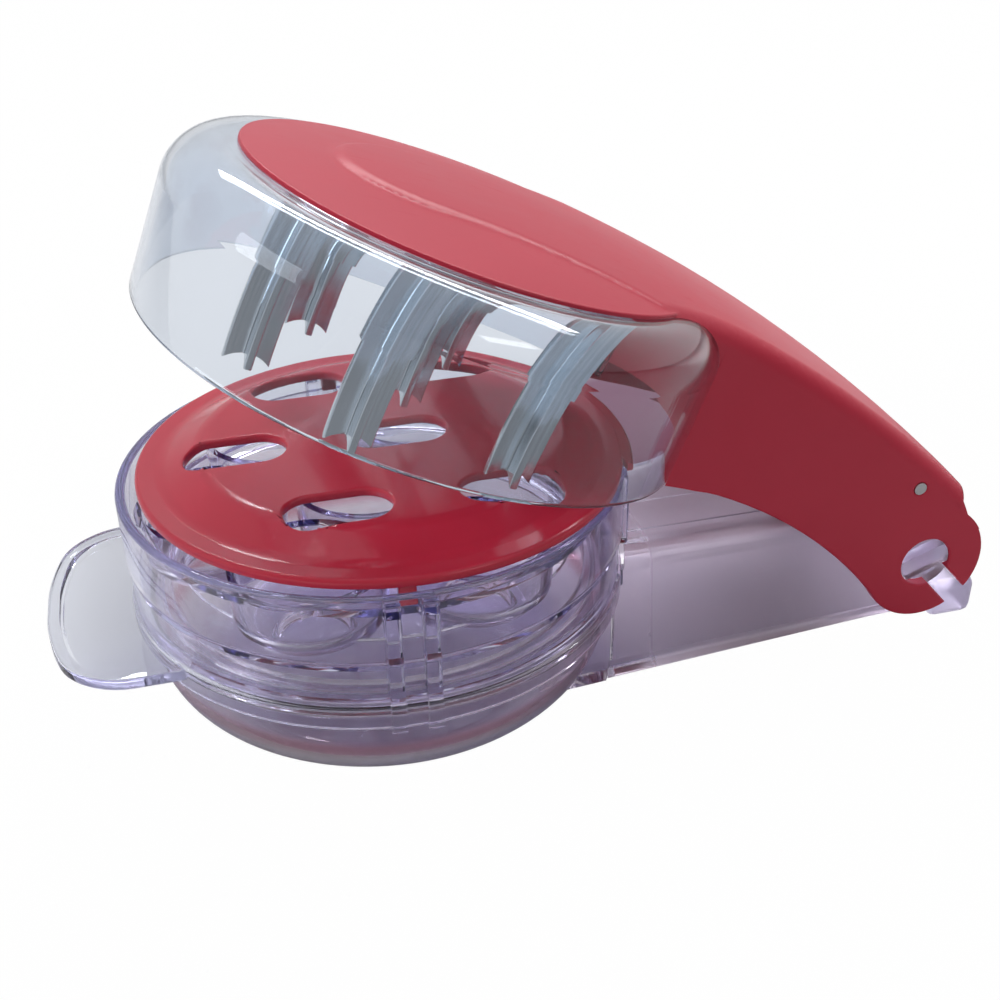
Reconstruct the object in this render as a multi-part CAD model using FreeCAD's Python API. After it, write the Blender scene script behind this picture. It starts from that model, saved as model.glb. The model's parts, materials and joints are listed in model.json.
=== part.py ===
import FreeCAD, Part
import math
import os
from FreeCAD import Vector

os.makedirs("parts", exist_ok=True)

# Six-cherry pitter, in millimetres. The origin is the centre of the bowl's flat foot on the table,
# +X runs to the hinge, +Z is up. The head is drawn closed and then swung up about the hinge.

# Driving sizes of the stack
bowlInset = 2.0
bowlFootInset = 14.2
bowlFlare = 1.2
bowlWall = 1.8
bowlHeight = 19.9
ringLedge = 3.2
ringPlate = 1.8
ringLip = 2.5
trayHeight = 22.1
trayWall = 1.8
trayMargin = 0.9
trayStep = 0.6
trayStepHeight = 9.0
deckDrop = 4.1
deckThickness = 1.6
cupSpacing = 1.0
cupLead = -1.5
cupRadius = 12.6
cupWall = 1.4
cupDepth = 15.6
cupHole = 6.2
cupNeck = 2.2
plateInset = 2.0
plateShift = 1.8
plateThickness = 1.8
plateRise = 3.2
plateBorder = 4.6
slotLength = 18.6
slotLead = 1.6
slotWidth = 10.2
legWidth = 3.0
legDepth = 2.0
legTurns = [-93.0, 93.0, -18.0, 18.0]
ribWidth = 2.6
ribDepth = 1.4

# Driving sizes of the base's tab and bar
tabLength = 15.4
tabHalfWidth = 26.5
tabCorner = 14.4
tabFront = 46.7
tabThickness = 2.2
tabBorder = 1.6
tabDish = 0.6
barLead = 8.0
barHalfWidth = 17.0
barHeight = 26.2
barWall = 2.0
barTail = 7.0
barCorner = 4.6
barFlare = 6.0
barLift = 0.5
panelHalfWidth = 11.0
panelRise = 0.25
ridgeHalfWidth = 1.0
ridgeRise = 0.5
footLength = 8.0
footHeight = 8.6
footRound = 2.0

# Driving sizes of the hinge and its motion
hingeX = 106.0
hingeZ = 16.8
pivotRadius = 5.2
pivotFlat = 4.4
pivotTurn = 20.0
pivotBoss = 8.0
stemWidth = 4.8
stemTurn = -26.6
openAngle = 22.0

# Driving sizes of the head
shieldClearance = 3.8
shieldLead = -1.8
shieldWall = 1.4
shieldBottom = 22.6
shieldTop = 51.6
shieldShoulder = 9.0
doorwayGap = 2.5
discInset = 9.8
discLead = -0.9
discLand = 1.3
discEdge = 0.6
discRound = 0.3
discCrown = 55.5
discWall = 1.8
caveInset = 5.9
leverWall = 2.4
armHalfWidth = 24.4
armLobe = 12.5
armUnderside = 20.6
armUndersideEnd = 54.0
armSweep = (80.0, 15.6)
armEdge = 4.0
armTop = [(-28.0, 55.1), (36.0, 53.5), (106.5, 34.6)]
armCrownRadius = 250.0
armNotch = 2.4
tongueHalfWidth = 20.4
tongueRound = 17.5
flareStart = 25.5
flareLead = 13.5
flareStep = 5.2
flareLength = 26.5
carrierThickness = 1.5
plungerTip = 14.8
plungerStep = 33.0
plungerWing = 4.2
plungerBlade = 1.5
shankWing = 4.7
shankBlade = 2.2
plungerHead = 6.6
plungerHeadThickness = 0.8
tipBall = 6.0
tipDip = 3.4
screwRadius = 1.2
screwHeadRadius = 2.4
screwHeadHeight = 1.2
screwDepth = 1.6
screwBoss = 2.6

# Driving sizes of the return spring
pinX = 95.7
pinZ = 31.6
pinRadius = 1.25
wireRadius = 0.45
coilPitch = 1.5
coilTurns = 5
legLength = 10.0

# Clearances
seatGap = 0.3
slideGap = 0.4
pivotGap = 0.05
pinGap = 0.02
coilGap = 0.35

cupPitch = 2 * (cupRadius + cupWall) + cupSpacing
trayRadius = cupPitch - cupLead + cupRadius + cupWall + trayMargin + trayWall
bowlRadius = trayRadius - bowlInset
bowlFootRadius = bowlRadius - bowlFootInset
ringRadius = trayRadius
ringOpening = bowlRadius - ringLedge
plateRadius = trayRadius - plateInset
tabReach = ringRadius + tabLength
barEnd = hingeX + barTail
footReach = barEnd + footLength
shieldRadius = trayRadius + shieldClearance
discRadius = shieldRadius - discInset
shieldNeck = discRadius - discLand
armInner = armHalfWidth - leverWall
ringTop = bowlHeight + seatGap + ringPlate
trayTop = ringTop + trayHeight
deckTop = trayTop - deckDrop
cupBottom = deckTop - cupDepth
plateEdge = trayTop + seatGap
plateTop = plateEdge + plateThickness + plateRise
legReach = trayRadius - trayWall - seatGap - legDepth
carrierTop = shieldTop
carrierHeight = carrierTop - carrierThickness
carrierRadius = shieldNeck - seatGap
coilRadius = pinRadius + coilGap + wireRadius
hinge = Vector(hingeX, 0, hingeZ)
axisY = Vector(0, 1, 0)
axisZ = Vector(0, 0, 1)


def block(x0, x1, y0, y1, z0, z1):
    return Part.makeBox(x1 - x0, y1 - y0, z1 - z0, Vector(x0, y0, z0))


def cylinder(x, y, z0, z1, radius):
    return Part.makeCylinder(radius, z1 - z0, Vector(x, y, z0))


def sideways(x, z, y0, y1, radius):
    return Part.makeCylinder(radius, y1 - y0, Vector(x, y0, z), axisY)


def wireOf(steps):
    # A step is the next corner, or a pair of the arc's middle and its end.
    edges = []
    here = steps[0]
    for step in steps[1:]:
        if isinstance(step, list):
            edges.append(Part.Arc(here, step[0], step[1]).toShape())
            here = step[1]
        else:
            edges.append(Part.makeLine(here, step))
            here = step
    if (here - steps[0]).Length > 1e-6:
        edges.append(Part.makeLine(here, steps[0]))
    return Part.Wire(edges)


def lathe(steps, x=0.0, y=0.0):
    # The outline is given as radius and height, and turned about an upright axis.
    def place(point):
        return Vector(x + point[0], y, point[1])
    places = [[place(p) for p in s] if isinstance(s, list) else place(s) for s in steps]
    return Part.Face(wireOf(places)).revolve(Vector(x, y, 0), axisZ, 360)


def prism(steps, z0, z1):
    def place(point):
        return Vector(point[0], point[1], z0)
    places = [[place(p) for p in s] if isinstance(s, list) else place(s) for s in steps]
    return Part.Face(wireOf(places)).extrude(Vector(0, 0, z1 - z0))


def slab(steps, y0, y1):
    def place(point):
        return Vector(point[0], y0, point[1])
    places = [[place(p) for p in s] if isinstance(s, list) else place(s) for s in steps]
    return Part.Face(wireOf(places)).extrude(Vector(0, y1 - y0, 0))


def onCircle(cx, cz, radius, degrees):
    turn = math.radians(degrees)
    return (cx + radius * math.cos(turn), cz + radius * math.sin(turn))


def fused(shapes):
    return shapes[0].multiFuse(shapes[1:]).removeSplitter()


def swung(shape):
    # Swings a head piece from the closed place to the open place of rest.
    turned = shape.copy()
    turned.rotate(hinge, axisY, openAngle)
    return turned


def save(name, shape):
    print(name, len(shape.Solids), "valid" if shape.isValid() else "broken", round(shape.Volume, 1))
    shape.exportStep("parts/" + name + ".step")


# The cups sit on a triangular grid that leaves the place next to the hinge free.
rowOffset = cupPitch * math.sqrt(3) / 2
cupPlaces = {
    "front": (cupLead - cupPitch, 0.0),
    "centre": (cupLead, 0.0),
    "front_left": (cupLead - cupPitch / 2, rowOffset),
    "front_right": (cupLead - cupPitch / 2, -rowOffset),
    "rear_left": (cupLead + cupPitch / 2, rowOffset),
    "rear_right": (cupLead + cupPitch / 2, -rowOffset),
}


def reach(place):
    # Distance from the hinge to a plunger that goes through the middle of its cup's hole.
    return math.hypot(hingeX - place[0], cupBottom - hingeZ)


def swingX(place, z):
    # Where that plunger's arc stands at height z when the head is closed.
    return hingeX - math.sqrt(reach(place) ** 2 - (z - hingeZ) ** 2)


def between(first, second):
    # The middle between two plungers' heads.
    a = cupPlaces[first]
    b = cupPlaces[second]
    return ((swingX(a, carrierTop) + swingX(b, carrierTop)) / 2, (a[1] + b[1]) / 2)


screwPlaces = [
    between("front", "centre"),
    between("rear_left", "rear_right"),
    between("front_left", "rear_left"),
    between("front_right", "rear_right"),
]


def bowl():
    curve = bowlRadius - bowlFootRadius - bowlFlare
    side = bowlFootRadius + curve
    bend = math.sqrt(0.5)
    inner = curve - bowlWall
    return lathe([
        (0, 0),
        (bowlFootRadius, 0),
        [(bowlFootRadius + curve * bend, curve - curve * bend), (side, curve)],
        (bowlRadius, bowlHeight),
        (bowlRadius - bowlWall, bowlHeight),
        (side - bowlWall, curve),
        [(bowlFootRadius + inner * bend, curve - inner * bend), (bowlFootRadius, bowlWall)],
        (0, bowlWall),
    ])


def tab():
    # A thumb tab with a bowed front, rounded corners and a shallow dish inside its border.
    span = tabHalfWidth - tabCorner
    depth = math.sqrt((tabFront - tabCorner) ** 2 - span ** 2)
    middle = tabFront - tabReach
    corner = middle - depth
    slope = math.atan2(span, depth)
    lean = (slope + math.pi / 2) / 2

    def outline(inset):
        r = tabCorner - inset

        def onCorner(side, turn):
            return (corner - r * math.cos(turn), side * (span + r * math.sin(turn)))
        return [
            (-ringOpening, inset - tabHalfWidth),
            (corner, inset - tabHalfWidth),
            [onCorner(-1, lean), onCorner(-1, slope)],
            [(inset - tabReach, 0), onCorner(1, slope)],
            [onCorner(1, lean), (corner, tabHalfWidth - inset)],
            (-ringOpening, tabHalfWidth - inset),
        ]
    plate = prism(outline(0), ringTop - tabThickness, ringTop)
    return plate.cut(prism(outline(tabBorder), ringTop - tabDish, ringTop + 1))


def barSection(x, inset, z0, z1):
    # The bar cut across at x: its sides flare out to the table, and more so towards the ring.
    flare = barFlare * (barEnd - x) / (barEnd - ringOpening)

    def half(z):
        return barHalfWidth - inset + flare * (barHeight - z) / barHeight
    corners = [(-half(z0), z0), (half(z0), z0), (half(z1), z1), (-half(z1), z1)]
    return wireOf([Vector(x, y, z) for y, z in corners])


def bar():
    # An upturned channel from the ring to the hinge, open towards the table.
    front = ringOpening - barLead
    rear = barEnd - 2 * barCorner
    shell = Part.makeLoft([barSection(x, 0.0, barLift, barHeight) for x in (front, barEnd)], True, True)
    rims = [e for e in shell.Edges if e.BoundBox.ZMin > barHeight - 0.1 and e.BoundBox.XMax > barEnd - 0.1]
    shell = shell.makeFillet(barCorner, rims)
    ends = (front - 1, barEnd - barWall)
    inside = Part.makeLoft([barSection(x, barWall, -1, barHeight - barWall) for x in ends], True, True)
    low = barHeight - barWall / 2
    ridge = block(front, rear, -ridgeHalfWidth, ridgeHalfWidth, low, barHeight + ridgeRise)
    panel = block(front, rear, -panelHalfWidth, panelHalfWidth, low, barHeight + panelRise)
    foot = block(barEnd - barWall, footReach, slideGap - armInner, armInner - slideGap, 0, footHeight)
    foot = foot.makeFillet(footRound, [e for e in foot.Edges if e.BoundBox.XMin > footReach - 0.1])
    return fused([shell, ridge, panel]).cut(inside).fuse(foot)


def pivot(side):
    # A round boss on the bar's side, and a stub with two flats that the arm's keyhole turns on.
    inner = barHalfWidth - barWall
    shoulder = armInner - slideGap
    tip = armHalfWidth - seatGap
    boss = sideways(hingeX, hingeZ, inner, shoulder, pivotBoss)
    stub = sideways(hingeX, hingeZ, shoulder, tip, pivotRadius)
    flats = block(-pivotBoss, pivotBoss, inner, tip + 1, -pivotFlat / 2, pivotFlat / 2)
    flats.rotate(Vector(0, 0, 0), axisY, -pivotTurn)
    flats.translate(hinge)
    shape = boss.fuse(stub.common(flats))
    if side < 0:
        shape = shape.mirror(Vector(0, 0, 0), axisY)
    return shape


def baseFrame():
    lipBottom = ringTop - ringPlate - ringLip
    ring = cylinder(0, 0, lipBottom, ringTop, ringRadius)
    body = fused([ring, tab(), bar()])
    body = body.cut(cylinder(0, 0, -1, ringTop - ringPlate, bowlRadius + slideGap))
    body = body.cut(cylinder(0, 0, -1, ringTop + 1, ringOpening))
    body = body.cut(cylinder(0, 0, ringTop, barHeight + 2, trayRadius + slideGap))
    return fused([body, pivot(1), pivot(-1)])


def turned(shape, degrees):
    copy = shape.copy()
    copy.rotate(Vector(0, 0, 0), axisZ, degrees)
    return copy


def cup(place, grow, bottom, top):
    # A straight neck at the hole, a round bottom and a nearly straight side.
    wide = cupRadius + grow
    hole = cupHole + grow
    bulge = cupRadius - cupHole
    low = cupBottom + bulge * 1.2
    return lathe([
        (0, bottom),
        (hole, bottom),
        (hole, cupBottom + cupNeck - grow),
        [(wide - bulge * 0.3, low - bulge * 0.5), (wide - 0.3, low)],
        (wide, top),
        (0, top),
    ], place[0], place[1])


def trayRibs():
    # Two ribs beside each of the plate's legs, on the inside of the tray's wall.
    ribs = []
    outside = trayRadius - trayWall + ribDepth / 4
    inside = trayRadius - trayWall - trayStep - ribDepth
    spread = legWidth / 2 + seatGap + ribWidth / 2
    for degrees in legTurns:
        for middle in (-spread, spread):
            y0 = middle - ribWidth / 2
            y1 = middle + ribWidth / 2
            rib = block(inside, outside, y0, y1, ringTop + seatGap, deckTop + deckThickness)
            ribs.append(turned(rib, degrees))
    return ribs


def trayWallRing():
    # The tray's outside: a stepped wall with a soft rim, a floor ledge and a collar in the base's ring.
    outer = trayRadius
    low = trayRadius - trayStep
    collar = ringOpening - seatGap
    ledge = ringTop + trayWall
    lip = trayWall / 2
    wall = lathe([
        (collar - trayWall, ringTop - ringPlate),
        (collar, ringTop - ringPlate),
        (collar, ringTop),
        (low, ringTop),
        (low, ringTop + trayStepHeight),
        (outer, ringTop + trayStepHeight + trayStep),
        (outer, trayTop - lip),
        [(outer - lip * 0.3, trayTop - lip * 0.3), (outer - lip, trayTop)],
        (outer - trayWall, trayTop),
        [(outer - trayWall - lip * 0.5, trayTop - lip * 0.3), (outer - trayWall - lip * 0.7, trayTop - lip)],
        (outer - trayWall, trayTop - 2 * lip - trayStep),
        (outer - trayWall, ringTop + trayStepHeight),
        (low - trayWall, ringTop + trayStepHeight - trayStep),
        (low - trayWall, ledge),
        (collar - trayWall, ledge),
    ])
    return fused([wall] + trayRibs())


def trayDeck():
    # The floor that the cups hang from, let in between the ribs.
    deck = cylinder(0, 0, deckTop - deckThickness, deckTop, trayRadius - trayWall)
    cups = [cylinder(x, y, cupBottom, trayTop, cupRadius + cupWall) for x, y in cupPlaces.values()]
    return deck.cut(Part.makeCompound(cups)).cut(Part.makeCompound(trayRibs()))


def trayCup(place):
    # A cup with straight sides through the deck and a round hole for the pit.
    shell = cup(place, cupWall, cupBottom, deckTop)
    return shell.cut(cup(place, 0.0, cupBottom - 1, deckTop + 1))


def slotPrism(x, y, grow, z0, z1):
    half = slotLength / 2 + grow
    r = slotWidth / 2 + grow
    run = half - r
    return prism([
        (x - run, y - r),
        (x + run, y - r),
        [(x + half, y), (x + run, y + r)],
        (x - run, y + r),
        [(x - half, y), (x - run, y - r)],
    ], z0, z1)


def stripperPlate():
    r = plateRadius
    t = plateThickness
    edge = plateEdge
    inner = r - plateBorder
    rise = plateRise
    mid = edge + t + rise / 2
    blend = rise * 1.1
    body = lathe([
        (0, plateTop - t),
        (inner - 2 * blend, plateTop - t),
        [(inner - 1.5 * blend - t * 0.3, plateTop - t - rise * 0.13), (inner - blend - t * 0.4, mid - t)],
        [(inner - 0.5 * blend - t * 0.3, edge + rise * 0.13), (inner, edge)],
        (r, edge),
        (r, edge + t - 0.8),
        [(r - 0.25, edge + t - 0.25), (r - 0.8, edge + t)],
        (inner, edge + t),
        [(inner - 0.5 * blend, edge + t + rise * 0.13), (inner - blend, mid)],
        [(inner - 1.5 * blend, plateTop - rise * 0.13), (inner - 2 * blend, plateTop)],
        (0, plateTop),
    ], plateShift)
    for place in cupPlaces.values():
        x = swingX(place, plateTop)
        body = body.cut(slotPrism(x + slotLead, place[1], 0.0, edge - 1, plateTop + 1))
    legs = []
    for degrees in legTurns:
        leg = block(legReach - legDepth, legReach, -legWidth / 2, legWidth / 2, deckTop, edge + t / 2)
        legs.append(turned(leg, degrees))
    return fused([body] + legs)


def shieldOutline(grow):
    r = shieldRadius + grow
    s = shieldShoulder + grow
    top = shieldTop + grow
    bend = math.sqrt(0.5)
    return [
        (r, shieldBottom),
        (r, top - s),
        [(r - s + s * bend, top - s + s * bend), (r - s, top)],
    ]


def shield():
    outer = shieldOutline(0.0)
    inner = shieldOutline(-shieldWall)
    shape = lathe(outer + [
        (shieldNeck, shieldTop),
        (shieldNeck, shieldTop - shieldWall),
        inner[2][1],
        [inner[2][0], inner[1]],
        (shieldRadius - shieldWall, shieldBottom),
    ], shieldLead)
    doorway = barHalfWidth + doorwayGap
    lintel = plateEdge + plateThickness + doorwayGap / 3
    return shape.cut(block(discRadius / 2, 2 * shieldRadius, -doorway, doorway, shieldBottom - 1, lintel))


def arcThrough(points):
    # Centre and radius of the circle through three points.
    (ax, az), (bx, bz), (cx, cz) = points
    d = 2 * (ax * (bz - cz) + bx * (cz - az) + cx * (az - bz))
    a2 = ax * ax + az * az
    b2 = bx * bx + bz * bz
    c2 = cx * cx + cz * cz
    x = (a2 * (bz - cz) + b2 * (cz - az) + c2 * (az - bz)) / d
    z = (a2 * (cx - bx) + b2 * (ax - cx) + c2 * (bx - ax)) / d
    return x, z, math.hypot(ax - x, az - z)


def crown(drop):
    # A barrel whose top is the arm's long curve, with a slighter curve across.
    cx, cz, r = arcThrough(armTop)
    top = cz + r - drop
    half = shieldRadius
    sag = armCrownRadius - math.sqrt(armCrownRadius ** 2 - half ** 2)
    low = top - 2 * shieldTop
    points = [Vector(cx, -half, low), Vector(cx, half, low), Vector(cx, half, top - sag)]
    points.append([Vector(cx, 0, top), Vector(cx, -half, top - sag)])
    face = Part.Face(wireOf(points))
    first = math.degrees(math.asin((armTop[0][0] - armLobe - cx) / r))
    last = math.degrees(math.asin((armTop[2][0] + 4 * armLobe - cx) / r))
    face.rotate(Vector(cx, 0, cz), axisY, first)
    return face.revolve(Vector(cx, 0, cz), axisY, last - first)


def armPlan():
    # The arm seen from above: round tongue, slow flare to the disc's edge, a tangent bend, then straight.
    w = armHalfWidth
    edgeY = math.sqrt(discRadius ** 2 - (flareStart - discLead) ** 2)
    drop = edgeY - w
    bend = (flareLength ** 2 + drop ** 2) / (2 * drop)
    middle = flareLength / 2
    tip = armTop[0][0]
    end = hingeX + 2 * armLobe

    def half(side):
        return [
            (tip + tongueRound, side * tongueHalfWidth),
            (flareStart - flareLead, side * (edgeY - flareStep)),
            (flareStart, side * edgeY),
            (flareStart + middle, side * (w + bend - math.sqrt(bend ** 2 - middle ** 2))),
            (flareStart + flareLength, side * w),
            (end, side * w),
        ]
    near = half(-1)
    far = half(1)
    return [
        near[0], [near[1], near[2]], [near[3], near[4]], near[5],
        far[5], far[4], [far[3], far[2]], [far[1], far[0]], [(tip, 0), near[0]],
    ]


def armSide():
    # The arm seen from the side: flat underside, a sweep to the lobe round the hinge, a notch, the top.
    lobeIn = onCircle(hingeX, hingeZ, armLobe, 230)
    lobeMid = onCircle(hingeX, hingeZ, armLobe, -30)
    lobeOut = onCircle(hingeX, hingeZ, armLobe, 74)
    endX, endZ = armTop[2]
    frontX = armTop[0][0] - armLobe
    high = 2 * shieldTop
    return [
        (frontX, armUnderside),
        (armUndersideEnd, armUnderside),
        [armSweep, lobeIn],
        [lobeMid, lobeOut],
        (endX + armNotch / 4, lobeOut[1] + armNotch),
        (endX, endZ + armNotch),
        (endX, high),
        (frontX, high),
    ]


def keyhole():
    y = armHalfWidth + 1
    bore = sideways(hingeX, hingeZ, -y, y, pivotRadius + pivotGap)
    stem = block(0, armLobe + 6, -y, y, -stemWidth / 2, stemWidth / 2)
    stem.rotate(Vector(0, 0, 0), axisY, -stemTurn)
    stem.translate(hinge)
    return bore.fuse(stem)


def dome():
    # The disc's outside: a short upright edge, then a shallow dome.
    r = discRadius
    edge = shieldTop + discEdge
    rise = discCrown - edge
    return lathe([
        (0, shieldTop),
        (r, shieldTop),
        (r, edge - discRound),
        [(r - discRound / 2, edge), (r - 2 * discRound, edge + discRound / 3)],
        [(r / 2, edge + rise * 0.76), (0, discCrown)],
    ], discLead)


def cave():
    # The hollow under the dome, closed from below by the carrier.
    r = shieldNeck - caveInset
    rise = discCrown - discWall - shieldTop
    roof = [(r / 2, shieldTop + rise * 0.76), (0, shieldTop + rise)]
    return lathe([(0, shieldTop), (r, shieldTop), roof], shieldLead)


def headEnvelope(grow):
    # Everything the shield takes up, for the arm to be cut back to it.
    outer = shieldOutline(grow)
    return lathe([(0, 0), (shieldRadius + grow, 0)] + outer + [(0, shieldTop + grow)], shieldLead)


def lever():
    # The arm with its tongue over the disc and a bulkhead behind the shield, then the disc, in one moulding.
    high = 2 * shieldTop
    body = prism(armPlan(), -armLobe, high).common(crown(0))
    top = max(body.Faces, key=lambda face: face.CenterOfMass.z)
    rims = [e for e in top.Edges if e.BoundBox.XMin < hingeX]
    body = body.makeFillet(armEdge, rims)
    body = body.common(slab(armSide(), -shieldRadius, shieldRadius))
    room = block(discRadius / 2, hingeX + 2 * armLobe, -armInner, armInner, -armLobe, high)
    overBar = block(0, hingeX, -armInner, armInner, barHeight + ridgeRise + 2 * slideGap, high)
    bulkhead = headEnvelope(leverWall).common(overBar)
    body = body.cut(crown(leverWall).common(room).cut(bulkhead)).cut(headEnvelope(0.0))
    body = fused([body, dome().cut(cave())])
    bosses = [cylinder(x, y, carrierTop, discCrown - leverWall, screwBoss) for x, y in screwPlaces]
    body = fused([body] + bosses)
    for x, y in screwPlaces:
        body = body.cut(cylinder(x, y, carrierTop - 1, carrierTop + screwDepth, screwRadius))
    body = body.cut(keyhole())
    return body.cut(sideways(pinX, pinZ, -armHalfWidth - 1, armHalfWidth + 1, pinRadius + pinGap))


def cross(wing, blade, x, y):
    # A plus-shaped face on the hinge's level, ready to be swept about the hinge.
    b = blade / 2
    corners = [(b, wing), (-b, wing), (-b, b), (-wing, b), (-wing, -b), (-b, -b),
               (-b, -wing), (b, -wing), (b, -b), (wing, -b), (wing, b), (b, b)]
    return Part.Face(wireOf([Vector(x + u, y + v, hingeZ) for u, v in corners]))


def sweep(face, place, z0, z1):
    # Turns a face about the hinge from height z0 to height z1 on the plunger's arc.
    low = math.degrees(math.asin((z0 - hingeZ) / reach(place)))
    high = math.degrees(math.asin((z1 - hingeZ) / reach(place)))
    start = face.copy()
    start.rotate(hinge, axisY, low)
    return start.revolve(hinge, axisY, high - low)


def plunger(place):
    # A curved cross of two widths with a hollowed tip, and a round head that the carrier holds.
    x = hingeX - reach(place)
    y = place[1]
    blade = sweep(cross(plungerWing, plungerBlade, x, y), place, plungerTip, plungerStep)
    shank = sweep(cross(shankWing, shankBlade, x, y), place, plungerStep, carrierTop + shankBlade)
    head = cylinder(swingX(place, carrierTop), y, carrierTop - plungerHeadThickness, carrierTop, plungerHead)
    ball = Part.makeSphere(tipBall, Vector(swingX(place, plungerTip), y, plungerTip - tipDip))
    above = cylinder(x, y, carrierTop, 2 * carrierTop, carrierRadius)
    return fused([blade, shank, head]).cut(ball).cut(above)


def screwOutline(x, y, grow):
    # A countersunk screw, head down, flush with the carrier's underside.
    return lathe([
        (0, carrierHeight),
        (screwHeadRadius + grow, carrierHeight),
        (screwRadius + grow, carrierHeight + screwHeadHeight),
        (screwRadius + grow, carrierTop + screwDepth - seatGap),
        (0, carrierTop + screwDepth - seatGap),
    ], x, y)


def carrier():
    # A plate in the shield's neck, with a stepped hole for each plunger's shank and head.
    body = cylinder(shieldLead, 0, carrierHeight, carrierTop, carrierRadius)
    seat = carrierTop - plungerHeadThickness
    for place in cupPlaces.values():
        x = swingX(place, carrierHeight)
        y = place[1]
        body = body.cut(cylinder(x, y, carrierHeight - 1, carrierTop + 1, shankWing + 2 * slideGap))
        body = body.cut(cylinder(swingX(place, carrierTop), y, seat, carrierTop + 1, plungerHead + slideGap))
    for x, y in screwPlaces:
        body = body.cut(screwOutline(x, y, pinGap))
    return body


def springPoint(turn):
    # Turn counts coils about the pin from the middle of the winding, and 0 is over the pin.
    angle = 2 * math.pi * turn
    return Vector(pinX - coilRadius * math.sin(angle), turn * coilPitch, pinZ + coilRadius * math.cos(angle))


def springHeading(turn):
    angle = 2 * math.pi * turn
    turn = 2 * math.pi * coilRadius
    return Vector(-turn * math.cos(angle), coilPitch, -turn * math.sin(angle)).normalize()


def biarc(p0, t0, p1, t1):
    # Two arcs that leave p0 along t0, meet smoothly and reach p1 along t1.
    v = p1 - p0
    t = t0 + t1
    a = 2 * (t0.dot(t1) - 1)
    b = -2 * v.dot(t)
    d = (-b - math.sqrt(b * b - 4 * a * v.dot(v))) / (2 * a)
    d = d if d > 0 else (-b + math.sqrt(b * b - 4 * a * v.dot(v))) / (2 * a)
    q0 = p0 + t0 * d
    q1 = p1 - t1 * d
    joint = (q0 + q1) * 0.5
    arcs = []
    for start, apex, end in ((p0, q0, joint), (joint, q1, p1)):
        into = (apex - start).normalize()
        out = (end - apex).normalize()
        half = math.sqrt((1 + into.dot(out)) / 2)
        chord = (start + end) * 0.5
        arcs.append(Part.Arc(start, apex + (chord - apex) * (1 / (1 + half)), end).toShape())
    return arcs


def legSlope(height):
    # Slope of a leg that leaves the coil on a tangent and ends this far from the pin's middle.
    span = math.hypot(coilRadius, legLength)
    return math.degrees(math.asin(height / span) - math.atan2(coilRadius, legLength))


def springTurns():
    # The first leg slopes down to the bar at rest, the last one up to the arm's underside.
    cx, cz, r = arcThrough(armTop)
    lifted = Vector(pinX, 0, pinZ) - hinge
    turn = math.radians(openAngle)
    pinLift = hingeZ + lifted.z * math.cos(turn) - lifted.x * math.sin(turn)
    down = legSlope(pinLift - barHeight - panelRise - wireRadius - seatGap) + openAngle
    tilt = math.degrees(math.atan2(pinX - cx, pinZ - cz))
    up = legSlope(r - leverWall - math.hypot(pinX - cx, pinZ - cz) - wireRadius - seatGap) + tilt
    half = coilTurns / 2
    return 0.5 + down / 360 - math.ceil(half), math.ceil(half) - up / 360


def returnSpring():
    # One unbroken wire: a leg on the bar, the coils, and a leg against the arm's underside.
    first, last = springTurns()
    quarters = round((last - first) * 4)
    turns = [first + (last - first) * i / quarters for i in range(quarters + 1)]
    low = springPoint(first)
    high = springPoint(last)
    edges = [Part.makeLine(low - springHeading(first) * legLength, low)]
    for a, b in zip(turns, turns[1:]):
        edges += biarc(springPoint(a), springHeading(a), springPoint(b), springHeading(b))
    edges.append(Part.makeLine(high, high + springHeading(last) * legLength))
    path = Part.Wire(edges)
    ring = Part.Wire([Part.makeCircle(wireRadius, path.OrderedVertexes[0].Point, springHeading(first))])
    return path.makePipeShell([ring], True, False)


def springGap():
    # Least distance between neighbouring coils of the wire, measured on points.
    steps = 24
    first, last = springTurns()
    points = [springPoint(first + i / steps) for i in range(int((last - first) * steps) + 1)]
    least = min((p - q).Length for i, p in enumerate(points) for q in points[i + steps // 2:])
    return least - 2 * wireRadius


save("pit_bowl", bowl())
save("base_frame", baseFrame())
save("tray_wall", trayWallRing())
save("tray_deck", trayDeck())
for name, place in cupPlaces.items():
    save("tray_cup_" + name, trayCup(place))
save("stripper_plate", stripperPlate())
save("splash_shield", swung(shield()))
save("lever", swung(lever()))
save("plunger_carrier", swung(carrier()))
save("carrier_screws", swung(Part.makeCompound([screwOutline(x, y, 0.0) for x, y in screwPlaces])))
for name, place in cupPlaces.items():
    save("plunger_" + name, swung(plunger(place)))
save("spring_pin", swung(sideways(pinX, pinZ, -armHalfWidth, armHalfWidth, pinRadius)))
save("return_spring", swung(returnSpring()))
print("spring's least gap to itself", round(springGap(), 2))
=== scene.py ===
import bpy
import bmesh
import json
import math
from mathutils import Matrix, Vector


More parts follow.
